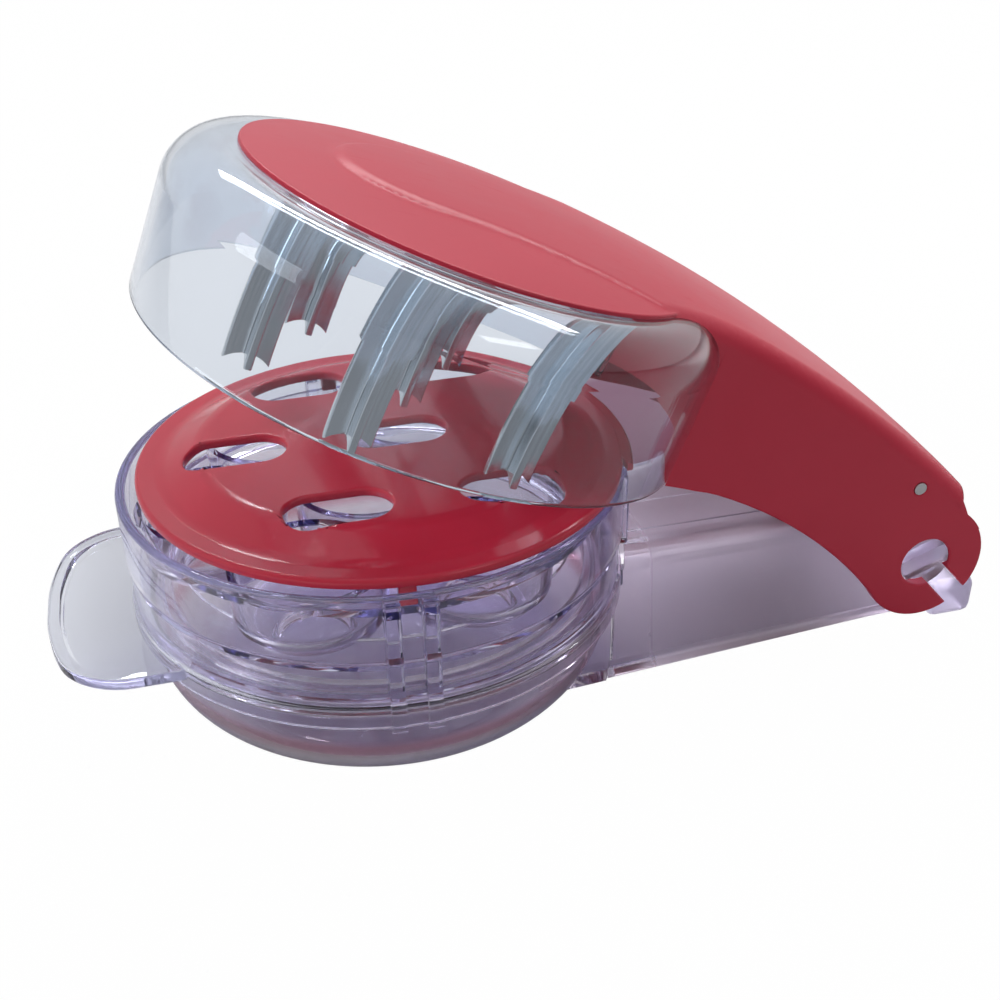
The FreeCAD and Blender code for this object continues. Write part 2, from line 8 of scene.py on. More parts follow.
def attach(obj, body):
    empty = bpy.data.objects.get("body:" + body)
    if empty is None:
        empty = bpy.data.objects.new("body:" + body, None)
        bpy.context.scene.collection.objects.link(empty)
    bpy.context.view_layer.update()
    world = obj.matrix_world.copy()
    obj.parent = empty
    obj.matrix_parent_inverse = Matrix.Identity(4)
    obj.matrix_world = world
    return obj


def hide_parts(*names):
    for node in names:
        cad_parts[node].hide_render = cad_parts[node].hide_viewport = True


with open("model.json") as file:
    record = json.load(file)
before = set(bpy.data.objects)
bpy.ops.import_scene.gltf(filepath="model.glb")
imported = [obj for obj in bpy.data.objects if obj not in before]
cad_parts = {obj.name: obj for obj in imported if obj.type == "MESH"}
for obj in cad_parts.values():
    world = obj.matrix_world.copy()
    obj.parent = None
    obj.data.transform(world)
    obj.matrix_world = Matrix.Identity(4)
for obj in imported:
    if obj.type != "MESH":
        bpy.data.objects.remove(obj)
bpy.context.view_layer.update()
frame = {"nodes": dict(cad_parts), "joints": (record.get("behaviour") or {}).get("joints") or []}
scene = bpy.context.scene
cadNodes = frame["nodes"]
mm = 0.001
white = (1.0, 1.0, 1.0, 1.0)
leverHinge = next(joint for joint in frame["joints"] if joint["name"] == "lever_hinge")
hingePlace = Vector(leverHinge["pos_m"])
openTurn = -math.radians(leverHinge["range_deg"][0])
print("frame loaded with", len(cadNodes), "nodes")

# camera, at the photograph's angle
cameraView = {
    "azimuth": -14.69, "elevation": 30.18, "roll": -0.8,
    "distance": 260.5 * mm, "lens": 47.71, "sensor": 36.0, "clip": (0.01, 20.0),
    "target": (24.52 * mm, 0.0, 30.97 * mm),
}


def placeCamera(view):
    turn, lift, roll = (math.radians(view[k]) for k in ("azimuth", "elevation", "roll"))
    ahead = Vector((-math.sin(turn) * math.cos(lift), math.cos(turn) * math.cos(lift), -math.sin(lift)))
    right = Vector((math.cos(turn), math.sin(turn), 0.0))
    up = right.cross(ahead)
    tiltedRight = right * math.cos(roll) + up * math.sin(roll)
    tiltedUp = up * math.cos(roll) - right * math.sin(roll)
    axes = Matrix((tiltedRight, tiltedUp, -ahead)).transposed()
    data = bpy.data.cameras.new("camera")
    data.lens = view["lens"]
    data.sensor_width = view["sensor"]
    data.clip_start, data.clip_end = view["clip"]
    camera = bpy.data.objects.new("camera", data)
    scene.collection.objects.link(camera)
    camera.matrix_world = Matrix.Translation(Vector(view["target"]) - ahead * view["distance"]) @ axes.to_4x4()
    scene.camera = camera


placeCamera(cameraView)
print("camera placed")


# node helpers
def feed(tree, socket, value):
    # a socket takes another node's output or a plain value
    if isinstance(value, bpy.types.NodeSocket):
        tree.links.new(value, socket)
    else:
        socket.default_value = value


def addNode(tree, kind, **settings):
    node = tree.nodes.new("ShaderNode" + kind)
    for key, value in settings.items():
        if key in node.bl_rna.properties:
            setattr(node, key, value)
        else:
            feed(tree, node.inputs[key.replace("_", " ")], value)
    return node


def inOrder(tree, kind, values, **settings):
    # a node whose inputs are given by their order
    node = addNode(tree, kind, **settings)
    for socket, value in zip(node.inputs, values):
        feed(tree, socket, value)
    return node


def mathNode(tree, operation, *values, clamp=False):
    return inOrder(tree, "Math", values, operation=operation, use_clamp=clamp).outputs[0]


def vectorNode(tree, operation, *values, output="Vector"):
    return inOrder(tree, "VectorMath", values, operation=operation).outputs[output]


def mixShaders(tree, *values):
    return inOrder(tree, "MixShader", values).outputs[0]


def mixValues(tree, factor, a, b):
    return addNode(tree, "Mix", data_type="FLOAT", Factor=factor, A=a, B=b).outputs["Result"]


def mixColours(tree, factor, a, b, blend="MIX"):
    return addNode(tree, "Mix", data_type="RGBA", blend_type=blend, Factor=factor, A=a, B=b).outputs["Result"]


def mapRange(tree, value, low, high, start=0.0, end=1.0, kind="SMOOTHSTEP"):
    return addNode(tree, "MapRange", interpolation_type=kind, Value=value, From_Min=low, From_Max=high,
                   To_Min=start, To_Max=end).outputs["Result"]


def newMaterial(name):
    material = bpy.data.materials.new(name)
    material.use_nodes = True
    material.node_tree.nodes.clear()
    return material, material.node_tree


def meshObject(shape, name):
    mesh = bpy.data.meshes.new(name)
    shape.to_mesh(mesh)
    shape.free()
    item = bpy.data.objects.new(name, mesh)
    scene.collection.objects.link(item)
    return item


# studio; a lamp has a place, an aim, a size, its watts and whether it shows in reflections
studio = {
    "ambient": 0.26, "frontReflection": 0.20, "backReflection": 0.62, "reflectionSpan": (-0.55, 0.25),
    "seenThrough": 0.90, "skyWhite": 1.0, "bounces": 32,
    # painted shade: the floor's front tone and its dimming in mirrored rays stand for shadow under the object and
    # dark reflections
    "floorWhite": 0.99, "floorInGlass": 0.46, "floorMirrorShade": 0.52,
    "floorFrontShade": (0.60, 0.60, 0.61, 1.0), "floorBack": (0.80, 0.80, 0.81, 1.0),
    "floorSize": 3.0, "floorCells": 8, "floorDrop": 0.3 * mm,
    "behindSpan": (0.05, 0.16), "besideSpan": (-0.046, -0.080),
    "armShade": (0.43, 0.22, 0.30, 1.0), "shadePlace": (85 * mm, 80 * mm, 0.0),
    "shadeReach": (18 * mm, 32 * mm, 1.0), "shadeEdge": (1.25, 0.75),
    "lamps": [
        ("topStrip", (0.40, 0.47, 0.79), (0.02, 0.0, 0.05), (1.40, 0.085), 8.4, True),
        ("leftSoftbox", (-0.85, -0.12, 0.48), (0.02, 0.0, 0.05), (0.50, 0.50), 3.8, False),
        ("frontStrip", (0.40, -0.75, 0.50), (0.03, 0.0, 0.05), (0.35, 0.12), 0.5, True),
    ],
}


def buildWorld(look):
    world = bpy.data.worlds.new("studioWorld")
    scene.world = world
    world.use_nodes = True
    tree = world.node_tree
    tree.nodes.clear()
    path = addNode(tree, "LightPath").outputs
    axes = addNode(tree, "SeparateXYZ", Vector=addNode(tree, "TexCoord").outputs["Generated"]).outputs
    depth = mapRange(tree, axes["Y"], *look["reflectionSpan"], look["frontReflection"], look["backReflection"])
    reflected = mixValues(tree, path["Is Glossy Ray"], look["ambient"], depth)
    through = mixValues(tree, path["Is Transmission Ray"], reflected, look["seenThrough"])
    seen = mixValues(tree, path["Is Camera Ray"], through, look["skyWhite"])
    sky = addNode(tree, "Background", Color=white, Strength=seen)
    addNode(tree, "OutputWorld", Surface=sky.outputs[0])


def buildFloor(look):
    shape = bmesh.new()
    bmesh.ops.create_grid(shape, x_segments=look["floorCells"], y_segments=look["floorCells"],
                          size=look["floorSize"])
    bmesh.ops.translate(shape, verts=shape.verts, vec=(0.0, 0.0, -look["floorDrop"]))
    floor = meshObject(shape, "floor")
    material, tree = newMaterial("paleFloor")
    path = addNode(tree, "LightPath").outputs
    place = addNode(tree, "TexCoord").outputs["Object"]
    axes = addNode(tree, "SeparateXYZ", Vector=place).outputs
    # painted shade: bright behind the object and to its left, darker in front of and under it, and darkest in
    # mirrored rays, where it is a painted dark reflection
    behind = mapRange(tree, axes["Y"], *look["behindSpan"])
    beside = mapRange(tree, axes["X"], *look["besideSpan"])
    bright = mathNode(tree, "MAXIMUM", behind, beside)
    tone = mixColours(tree, bright, look["floorFrontShade"], look["floorBack"])
    direct = mathNode(tree, "SUBTRACT", path["Is Glossy Ray"], path["Is Transmission Ray"], clamp=True)
    mirrored = mathNode(tree, "SUBTRACT", direct, bright, clamp=True)
    paintedShadeTone = mixColours(tree, mirrored, tone, (look["floorMirrorShade"],) * 3 + (1.0,), "MULTIPLY")
    # the red arm's shade on the floor behind it
    centred = vectorNode(tree, "SUBTRACT", place, look["shadePlace"])
    spread = vectorNode(tree, "DIVIDE", centred, look["shadeReach"])
    away = vectorNode(tree, "LENGTH", spread, output="Value")
    shade = mapRange(tree, away, *look["shadeEdge"])
    shaded = mixColours(tree, shade, paintedShadeTone, look["armShade"], "MULTIPLY")
    matt = addNode(tree, "BsdfDiffuse", Color=shaded)
    # plain white for the camera, and partly so through clear pieces
    glow = addNode(tree, "Emission", Color=white, Strength=1.0)
    lit = mathNode(tree, "SUBTRACT", bright, shade, clamp=True)
    through = mathNode(tree, "MULTIPLY", path["Is Transmission Ray"], lit)
    inGlass = mathNode(tree, "MULTIPLY", through, look["floorInGlass"])
    seen = mathNode(tree, "MULTIPLY", path["Is Camera Ray"], look["floorWhite"])
    share = mathNode(tree, "MAXIMUM", seen, inGlass)
    addNode(tree, "OutputMaterial", Surface=mixShaders(tree, share, matt.outputs[0], glow.outputs[0]))
    floor.data.materials.append(material)


def buildLamps(look):
    for name, place, aim, size, watts, mirrored in look["lamps"]:
        data = bpy.data.lights.new(name, "AREA")
        data.shape = "RECTANGLE"
        data.size, data.size_y = size
        data.energy = watts
        lamp = bpy.data.objects.new(name, data)
        scene.collection.objects.link(lamp)
        lamp.visible_glossy = mirrored
        lamp.location = place
        lamp.rotation_euler = (Vector(aim) - Vector(place)).to_track_quat("-Z", "Y").to_euler()


buildWorld(studio)
buildFloor(studio)
buildLamps(studio)
scene.view_settings.view_transform = "Standard"
scene.cycles.max_bounces = studio["bounces"]
scene.cycles.transmission_bounces = studio["bounces"]
scene.cycles.glossy_bounces = studio["bounces"]
scene.cycles.transparent_max_bounces = studio["bounces"]
print("studio built")

# shared effects, each built once as a node group; noise mostly stays in noiseSpan, and its peaks are marks
noiseSpan = (0.3, 0.7)
markSpan = (0.66, 0.78)


def newGroup(name, inputs, outputs):
    group = bpy.data.node_groups.new(name, "ShaderNodeTree")
    for label, value in inputs.items():
        socket = group.interface.new_socket(label, in_out="INPUT", socket_type="NodeSocketFloat")
        socket.default_value = value
    for label in outputs:
        group.interface.new_socket(label, in_out="OUTPUT", socket_type="NodeSocketFloat")
    return group, group.nodes.new("NodeGroupInput").outputs, group.nodes.new("NodeGroupOutput").inputs


def placeGroup(tree, group, values):
    node = tree.nodes.new("ShaderNodeGroup")
    node.node_tree = group
    for label, value in values.items():
        node.inputs[label].default_value = value
    return node.outputs


def buildMouldGroup():
    # fine moulded skin: a slow drift, a fine grain, and sparse handling marks
    scales = {"Drift Scale": 60.0, "Grain Scale": 2600.0, "Mark Scale": 900.0}
    group, start, end = newGroup("mouldedSkin", scales, ("Drift", "Grain", "Marks"))
    place = addNode(group, "TexCoord").outputs["Object"]
    drift = addNode(group, "TexNoise", Vector=place, Scale=start["Drift Scale"], Detail=3.0, Roughness=0.55)
    grain = addNode(group, "TexNoise", Vector=place, Scale=start["Grain Scale"], Detail=2.0, Roughness=0.6)
    stretched = addNode(group, "Mapping", Vector=place, Rotation=(0.3, 0.2, 0.6), Scale=(0.05, 1.0, 1.0))
    marks = addNode(group, "TexNoise", Vector=stretched.outputs["Vector"], Scale=start["Mark Scale"],
                    Detail=1.0, Roughness=0.4)
    feed(group, end["Drift"], drift.outputs["Fac"])
    feed(group, end["Grain"], grain.outputs["Fac"])
    feed(group, end["Marks"], mapRange(group, marks.outputs["Fac"], *markSpan, kind="LINEAR"))
    return group


def buildStreakGroup():
    # drawn lines that follow the plungers' arc about the hinge
    group, start, end = newGroup("drawnStreaks", {"Scale": 1800.0}, ("Streaks",))
    place = addNode(group, "TexCoord").outputs["Object"]
    centred = vectorNode(group, "SUBTRACT", place, hingePlace)
    flat = vectorNode(group, "MULTIPLY", centred, (1.0, 0.0, 1.0))
    reach = vectorNode(group, "LENGTH", flat, output="Value")
    axes = addNode(group, "SeparateXYZ", Vector=place)
    across = addNode(group, "CombineXYZ", X=reach, Y=axes.outputs["Y"])
    lines = addNode(group, "TexNoise", Vector=across.outputs["Vector"], Scale=start["Scale"],
                    Detail=2.0, Roughness=0.5)
    feed(group, end["Streaks"], lines.outputs["Fac"])
    return group


mouldGroup = buildMouldGroup()
streakGroup = buildStreakGroup()


# materials
def placeSkin(tree, look):
    scales = {"Drift Scale": "driftScale", "Grain Scale": "grainScale", "Mark Scale": "markScale"}
    return placeGroup(tree, mouldGroup, {label: look[key] for label, key in scales.items() if key in look})


def glossOver(tree, pattern, look):
    return mapRange(tree, pattern, *noiseSpan, look["roughLow"], look["roughHigh"], "LINEAR")


def bumpOver(tree, height, look):
    bump = addNode(tree, "Bump", Height=height, Strength=look["bumpStrength"], Distance=look["bumpDepth"])
    return bump.outputs["Normal"]


def solidPlastic(look):
    material, tree = newMaterial(look["name"])
    skin = placeSkin(tree, look)
    tone = mixColours(tree, skin["Drift"], look["dark"], look["light"])
    gloss = glossOver(tree, skin["Drift"], look)
    scuff = mathNode(tree, "MULTIPLY_ADD", skin["Marks"], look["markRough"], gloss)
    surface = addNode(tree, "BsdfPrincipled", IOR=look["ior"], Specular_IOR_Level=look["specular"],
                      Subsurface_Weight=look["soft"], Subsurface_Radius=look["softRadius"],
                      Subsurface_Scale=look["softScale"], Base_Color=tone, Roughness=scuff,
                      Normal=bumpOver(tree, skin["Grain"], look))
    addNode(tree, "OutputMaterial", Surface=surface.outputs[0])
    return material


def clearPlastic(look):
    material, tree = newMaterial(look["name"])
    skin = placeSkin(tree, look)
    axes = addNode(tree, "SeparateXYZ", Vector=addNode(tree, "TexCoord").outputs["Object"]).outputs
    rough = look["rough"]
    if "frost" in look:
        first, last, frosted = look["frost"]
        rough = mapRange(tree, axes["X"], first * mm, last * mm, rough, frosted)
    scuff = mathNode(tree, "MULTIPLY_ADD", skin["Marks"], look["markRough"], rough)
    tone = mixColours(tree, skin["Drift"], look["dark"], look["light"])
    # painted shade and reflection: along X the tint turns towards the lever-side tint, which stands for the red
    # lever's shade and reflection
    leverSideShare = mapRange(tree, axes["X"], look["fade"][0] * mm, look["fade"][1] * mm)
    tint = mixColours(tree, leverSideShare, tone, look["paintedLeverTint"])
    # painted reflection: a red band at one height stands for the red plate's reflection
    if "band" in look:
        middle, half, colour = look["band"]
        away = mathNode(tree, "ABSOLUTE", mathNode(tree, "SUBTRACT", axes["Z"], middle * mm))
        tint = mixColours(tree, mapRange(tree, away, half * mm, 0.0), tint, colour)
    surface = addNode(tree, "BsdfPrincipled", IOR=look["ior"], Transmission_Weight=1.0, Base_Color=tint,
                      Roughness=scuff, Normal=bumpOver(tree, skin["Drift"], look))
    through = addNode(tree, "BsdfTransparent", Color=look["shade"])
    shadow = addNode(tree, "LightPath").outputs["Is Shadow Ray"]
    depth = addNode(tree, "VolumeAbsorption", Color=look["depthColour"], Density=look["depthDensity"])
    addNode(tree, "OutputMaterial", Volume=depth.outputs[0],
            Surface=mixShaders(tree, shadow, surface.outputs[0], through.outputs[0]))
    return material


def castMetal(look):
    material, tree = newMaterial(look["name"])
    skin = placeSkin(tree, look)
    streaks = placeGroup(tree, streakGroup, {"Scale": look["streakScale"]})["Streaks"]
    tone = mixColours(tree, skin["Drift"], look["dark"], look["light"])
    lined = mixColours(tree, look["streakDepth"], tone, streaks, "MULTIPLY")
    surface = addNode(tree, "BsdfPrincipled", Metallic=1.0, Base_Color=lined,
                      Roughness=glossOver(tree, streaks, look), Normal=bumpOver(tree, skin["Grain"], look))
    addNode(tree, "OutputMaterial", Surface=surface.outputs[0])
    return material


redSkin = {"ior": 1.5, "soft": 0.05, "softRadius": (1.0, 0.25, 0.2), "softScale": 0.6 * mm, "markRough": 0.03}
satinRed = solidPlastic({
    **redSkin, "name": "satinRed", "dark": (0.54, 0.022, 0.054, 1.0), "light": (0.60, 0.028, 0.064, 1.0),
    "driftScale": 45.0, "grainScale": 3200.0, "markScale": 700.0, "specular": 0.42,
    "roughLow": 0.34, "roughHigh": 0.40, "bumpStrength": 0.15, "bumpDepth": 0.06 * mm,
})
glossRed = solidPlastic({
    **redSkin, "name": "glossRed", "dark": (0.52, 0.024, 0.052, 1.0), "light": (0.58, 0.032, 0.064, 1.0),
    "driftScale": 50.0, "grainScale": 1800.0, "markScale": 600.0, "specular": 0.5,
    "roughLow": 0.13, "roughHigh": 0.18, "bumpStrength": 0.05, "bumpDepth": 0.05 * mm,
})
# the painted lever-side tint (fade) and the frost run along X, and the painted red reflection band runs by height,
# all in mm
clearSkin = {"ior": 1.50, "rough": 0.02, "markRough": 0.04, "markScale": 500.0, "bumpDepth": 0.4 * mm}
clearShield = clearPlastic({
    **clearSkin, "name": "clearShield", "dark": (0.77, 0.82, 0.89, 1.0), "light": (0.81, 0.855, 0.915, 1.0),
    # painted shade and reflection: mauve towards the lever's side, where the lever's shade and red reflection fall
    "fade": (42.0, 60.0), "paintedLeverTint": (0.74, 0.66, 0.71, 1.0), "shade": (0.68, 0.69, 0.72, 1.0),
    "driftScale": 30.0, "bumpStrength": 0.10, "depthColour": (0.52, 0.57, 0.70, 1.0), "depthDensity": 35.0,
})
clearBowl = clearPlastic({
    **clearSkin, "name": "clearBowl", "dark": (0.87, 0.83, 0.88, 1.0), "light": (0.92, 0.88, 0.93, 1.0),
    "fade": (-10.0, 40.0), "paintedLeverTint": (0.92, 0.87, 0.92, 1.0), "shade": (0.80, 0.78, 0.84, 1.0),
    # painted reflection: the red band stands for the red plate's reflection in the bowl
    "band": (10.5, 3.0, (0.70, 0.40, 0.47, 1.0)),
    "driftScale": 30.0, "bumpStrength": 0.10, "depthColour": (0.54, 0.48, 0.60, 1.0), "depthDensity": 20.0,
})
clearBase = clearPlastic({
    **clearSkin, "name": "clearBase", "dark": (0.87, 0.90, 0.97, 1.0), "light": (0.91, 0.935, 0.99, 1.0),
    # painted shade and reflection: the bar's part turns mauve-grey for the lever's shade and red reflection
    "fade": (-46.0, 44.0), "paintedLeverTint": (0.87, 0.80, 0.87, 1.0), "shade": (0.80, 0.79, 0.86, 1.0),
    "frost": (43.0, 52.0, 0.30),
    "driftScale": 35.0, "bumpStrength": 0.12, "depthColour": (0.50, 0.48, 0.70, 1.0), "depthDensity": 26.0,
})
clearTray = clearPlastic({
    **clearSkin, "name": "clearTray", "dark": (0.93, 0.92, 0.95, 1.0), "light": (0.96, 0.95, 0.975, 1.0),
    "fade": (-40.0, 46.0), "paintedLeverTint": (0.92, 0.90, 0.94, 1.0), "shade": (0.84, 0.84, 0.93, 1.0),
    "driftScale": 35.0, "bumpStrength": 0.12, "depthColour": (0.42, 0.40, 0.74, 1.0), "depthDensity": 44.0,
})
plungerMetal = castMetal({
    "name": "plungerMetal", "dark": (0.74, 0.81, 0.86, 1.0), "light": (0.84, 0.90, 0.95, 1.0),
    "driftScale": 120.0, "grainScale": 1600.0, "streakScale": 1500.0, "streakDepth": 0.35,
    "roughLow": 0.12, "roughHigh": 0.22, "bumpStrength": 0.04, "bumpDepth": 0.05 * mm,
})
brightWire = castMetal({
    "name": "brightWire", "dark": (0.88, 0.87, 0.89, 1.0), "light": (0.95, 0.94, 0.96, 1.0),
    "driftScale": 300.0, "grainScale": 5000.0, "streakScale": 4000.0, "streakDepth": 0.15,
    "roughLow": 0.40, "roughHigh": 0.50, "bumpStrength": 0.06, "bumpDepth": 0.03 * mm,
})
print("materials built")

# turned, cut and joined shapes; their sizes are in mm, and cutters run past what they cut by cutClear
weldReach = 0.002 * mm
cutClear = 1.0
faceReach = 0.1
sharpAngle = 38.0
sides = (-1.0, 1.0)


def rounded(shape, geom, reach, segments, affect="EDGES", **extra):
    bmesh.ops.bevel(shape, geom=geom, offset=reach * mm, offset_type="OFFSET", segments=segments, profile=0.5,
                    affect=affect, material=-1, **extra)


def profileWire(corners, centre, closed):
    # each corner is its radius, its height and the reach of its rounding
    shape = bmesh.new()
    x, y = centre
    verts = [shape.verts.new(((x + radius) * mm, y * mm, height * mm)) for radius, height, reach in corners]
    ends = verts[1:] + verts[:1] if closed else verts[1:]
    for start, end in zip(verts, ends):
        shape.edges.new((start, end))
    for vert, (radius, height, reach) in zip(verts, corners):
        if reach:
            rounded(shape, [vert], reach, 3 + round(reach * 1.5), "VERTICES")
    return shape


def turned(corners, centre=(0.0, 0.0), closed=True, steps=144):
    shape = profileWire(corners, centre, closed)
    bmesh.ops.spin(shape, geom=shape.verts[:] + shape.edges[:], cent=(centre[0] * mm, centre[1] * mm, 0.0),
                   axis=(0.0, 0.0, 1.0), dvec=(0.0, 0.0, 0.0), angle=2 * math.pi, steps=steps,
                   use_merge=True, use_duplicate=False)
    bmesh.ops.remove_doubles(shape, verts=shape.verts, dist=weldReach)
    bmesh.ops.recalc_face_normals(shape, faces=shape.faces)
    return shape


def disc(radius, low, high):
    corners = [(0.0, low, 0.0), (radius, low, 0.0), (radius, high, 0.0), (0.0, high, 0.0)]
    return turned(corners, closed=False)


def boxShape(low, high, edge=0.0):
    shape = bmesh.new()
    bmesh.ops.create_cube(shape, size=1.0)
    size = [(b - a) * mm for a, b in zip(low, high)]
    middle = [(a + b) * mm / 2 for a, b in zip(low, high)]
    bmesh.ops.scale(shape, vec=size, verts=shape.verts)
    bmesh.ops.translate(shape, vec=middle, verts=shape.verts)
    if edge:
        rounded(shape, shape.edges[:], edge, 3)
    return shape


def thickened(shape, height):
    grown = bmesh.ops.extrude_face_region(shape, geom=shape.faces[:])
    raised = [v for v in grown["geom"] if isinstance(v, bmesh.types.BMVert)]
    bmesh.ops.translate(shape, vec=(0.0, 0.0, height * mm), verts=raised)
    bmesh.ops.recalc_face_normals(shape, faces=shape.faces)


def capsulePrism(place, length, width, low, high):
    # an upright prism with round ends, along X; its ends stop just short of meeting
    shape = bmesh.new()
    run = (length - width) / 2
    half = width / 2
    corners = [(-run - half, -half), (run + half, -half), (run + half, half), (-run - half, half)]
    shape.faces.new([shape.verts.new(((place[0] + x) * mm, (place[1] + y) * mm, low * mm)) for x, y in corners])
    rounded(shape, shape.verts[:], half * 0.998, 10, "VERTICES")
    thickened(shape, high - low)
    return shape


def turnAbout(shape, degrees, axis="Z"):
    bmesh.ops.rotate(shape, cent=(0.0, 0.0, 0.0), matrix=Matrix.Rotation(math.radians(degrees), 3, axis),
                     verts=shape.verts)
    return shape


def swungOpen(shape):
    # head pieces are drawn closed and then swung up about the hinge
    bmesh.ops.rotate(shape, cent=hingePlace, matrix=Matrix.Rotation(openTurn, 3, "Y"), verts=shape.verts)
    return shape


def sharpEdges(shape, degrees):
    limit = math.radians(degrees)
    return [e for e in shape.edges if len(e.link_faces) == 2 and e.calc_face_angle() > limit]


def combined(base, tools, operation):
    # joins or cuts closed shapes and gives the closed result back as a bmesh
    held = [meshObject(shape, "working") for shape in [base] + tools]
    for tool in held[1:]:
        step = held[0].modifiers.new("step", "BOOLEAN")
        step.operation = operation
        step.solver = "MANIFOLD"
        step.object = tool
    bpy.context.view_layer.update()
    mesh = bpy.data.meshes.new_from_object(held[0].evaluated_get(bpy.context.evaluated_depsgraph_get()))
    result = bmesh.new()
    result.from_mesh(mesh)
    for item in held:
        data = item.data
        bpy.data.objects.remove(item)
        bpy.data.meshes.remove(data)
    bpy.data.meshes.remove(mesh)
    bmesh.ops.remove_doubles(result, verts=result.verts, dist=weldReach)
    bmesh.ops.dissolve_degenerate(result, edges=result.edges, dist=weldReach)
    return result


def finishPiece(shape, name, material, body, nodes):
    piece = meshObject(shape, name)
    mesh = piece.data
    mesh.materials.clear()
    mesh.materials.append(material)
    mesh.shade_smooth()
    mesh.set_sharp_from_angle(angle=math.radians(sharpAngle))
    even = piece.modifiers.new("evenShading", "WEIGHTED_NORMAL")
    even.keep_sharp = True
    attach(piece, body)
    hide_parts(*nodes)
    print(name, "made with", len(mesh.polygons), "faces")


# pit bowl
bowlLook = {"radius": 45.2, "height": 19.9, "wall": 1.8, "turnIn": 43.2, "curve": 12.4, "lip": 0.7}


def buildBowl(look):
    r, h, w, side, curve, lip = (look[k] for k in ("radius", "height", "wall", "turnIn", "curve", "lip"))
    shape = turned([
        (0.0, 0.0, 0.0), (side, 0.0, curve), (r, h, lip), (r - w, h, lip),
        (side - w, w, curve - w), (0.0, w, 0.0),
    ], closed=False)
    finishPiece(shape, "pitBowl", clearBowl, "bowl", ["pit_bowl"])


buildBowl(bowlLook)

# cherry tray, one moulding with wall, deck, inner flange, ribs, straps, clips and six cups
cupNames = ("front", "centre", "front_left", "front_right", "rear_left", "rear_right")
trayLook = {
    "radius": 47.2, "wall": 1.8, "step": 0.6, "stepHeight": 31.0, "top": 44.1, "seat": 22.08, "lip": 0.75,
    "collar": 41.7, "collarDrop": 1.8, "deckTop": 40.0, "deck": 1.6, "deckReach": 43.2, "deckSteps": 96,
    "flange": (38.0, 29.0, 30.8), "flangeBite": 1.6,
    "cupPitch": 29.0, "cupLead": -1.5, "cupRadius": 12.6, "cupWall": 1.4, "cupBottom": 24.4, "cupHole": 6.2,
    "cupFoot": 0.9, "cupTuck": 0.8, "cupRise": 3.2, "cupCurve": 4.4, "cupSteps": 72,
    "hollowFloor": 2.4, "hollowTuck": 0.7, "hollowRise": 4.4, "hollowCurve": 4.2,
    "mouthDrop": 0.6, "mouthFlare": 0.7, "mouthClear": 0.1,
    "ribTurns": (-93.0, 93.0, -18.0, 18.0), "ribSpread": 3.1, "ribWidth": 2.6, "ribReach": 2.0,
    "ribLift": 0.4, "ribEdge": 0.5,
    "strapTurns": (-93.0, 93.0), "strapReach": 0.7, "strapSpan": (17.4, 43.2), "strapLap": (1.0, 2.0),
    "strapGap": 0.08, "strapEdges": (0.25, 0.2),
    "clipTurns": (-17.0, 17.0), "clipHalf": 2.0, "clipSpan": (26.6, 41.5), "clipReach": 0.9, "clipBite": 0.8,
    "clipEdge": 0.5,
}


def cupPlaces(look):
    pitch, lead = look["cupPitch"], look["cupLead"]
    row = pitch * math.sqrt(3) / 2
    return [(lead - pitch, 0.0), (lead, 0.0), (lead - pitch / 2, row), (lead - pitch / 2, -row),
            (lead + pitch / 2, row), (lead + pitch / 2, -row)]


def trayWall(look):
    r, w, step, seat, top, lip = (look[k] for k in ("radius", "wall", "step", "seat", "top", "lip"))
    rise, collar, drop = (look[k] for k in ("stepHeight", "collar", "collarDrop"))
    low = r - step
    return turned([
        (collar - w, seat - drop, 0.5), (collar, seat - drop, 0.5),
        (collar, seat, 0.3), (low, seat, 0.6), (low, rise, 0.3), (r, rise + step, 0.3),
        (r, top, lip), (r - w, top, lip), (r - w, rise, 0.3), (low - w, rise - step, 0.3),
        (low - w, seat + w, 0.8), (collar - w, seat + w, 0.6),
    ])


def trayDecks(look):
    reach, over = look["deckReach"], look["deckTop"]
    under = over - look["deck"]
    deck = [(0.0, under, 0.0), (reach, under, 0.3), (reach, over, 0.3), (0.0, over, 0.0)]
    inside, under, over = look["flange"]
    outside = look["radius"] - look["flangeBite"]
    flange = [(inside, under, 0.3), (outside, under, 0.0), (outside, over, 0.0), (inside, over, 0.3)]
    return [turned(deck, closed=False, steps=look["deckSteps"]), turned(flange, steps=look["deckSteps"])]


def cupBody(look, place):
    bottom, foot = look["cupBottom"], look["cupHole"] + look["cupWall"]
    outer, top = look["cupRadius"] + look["cupWall"], look["deckTop"] - look["deck"] / 2
    return turned([
        (0.0, bottom, 0.0), (foot, bottom, 0.4), (foot, bottom + look["cupFoot"], 0.3),
        (outer - look["cupTuck"], bottom + look["cupRise"], look["cupCurve"]), (outer, top, 0.0), (0.0, top, 0.0),
    ], centre=place, closed=False, steps=look["cupSteps"])


def cupHollow(look, place):
    bottom, hole, r = look["cupBottom"], look["cupHole"], look["cupRadius"]
    low, top = bottom - cutClear, look["deckTop"] + look["mouthClear"]
    return turned([
        (0.0, low, 0.0), (hole, low, 0.0), (hole, bottom + look["hollowFloor"], 0.5),
        (r - look["hollowTuck"], bottom + look["hollowRise"], look["hollowCurve"]),
        (r, look["deckTop"] - look["mouthDrop"], 0.5), (r + look["mouthFlare"], top, 0.0), (0.0, top, 0.0),
    ], centre=place, closed=False, steps=look["cupSteps"])


def pairSpans(look):
    # ribs and straps stand in pairs
    half = look["ribWidth"] / 2
    return [(side * look["ribSpread"] - half, side * look["ribSpread"] + half) for side in sides]


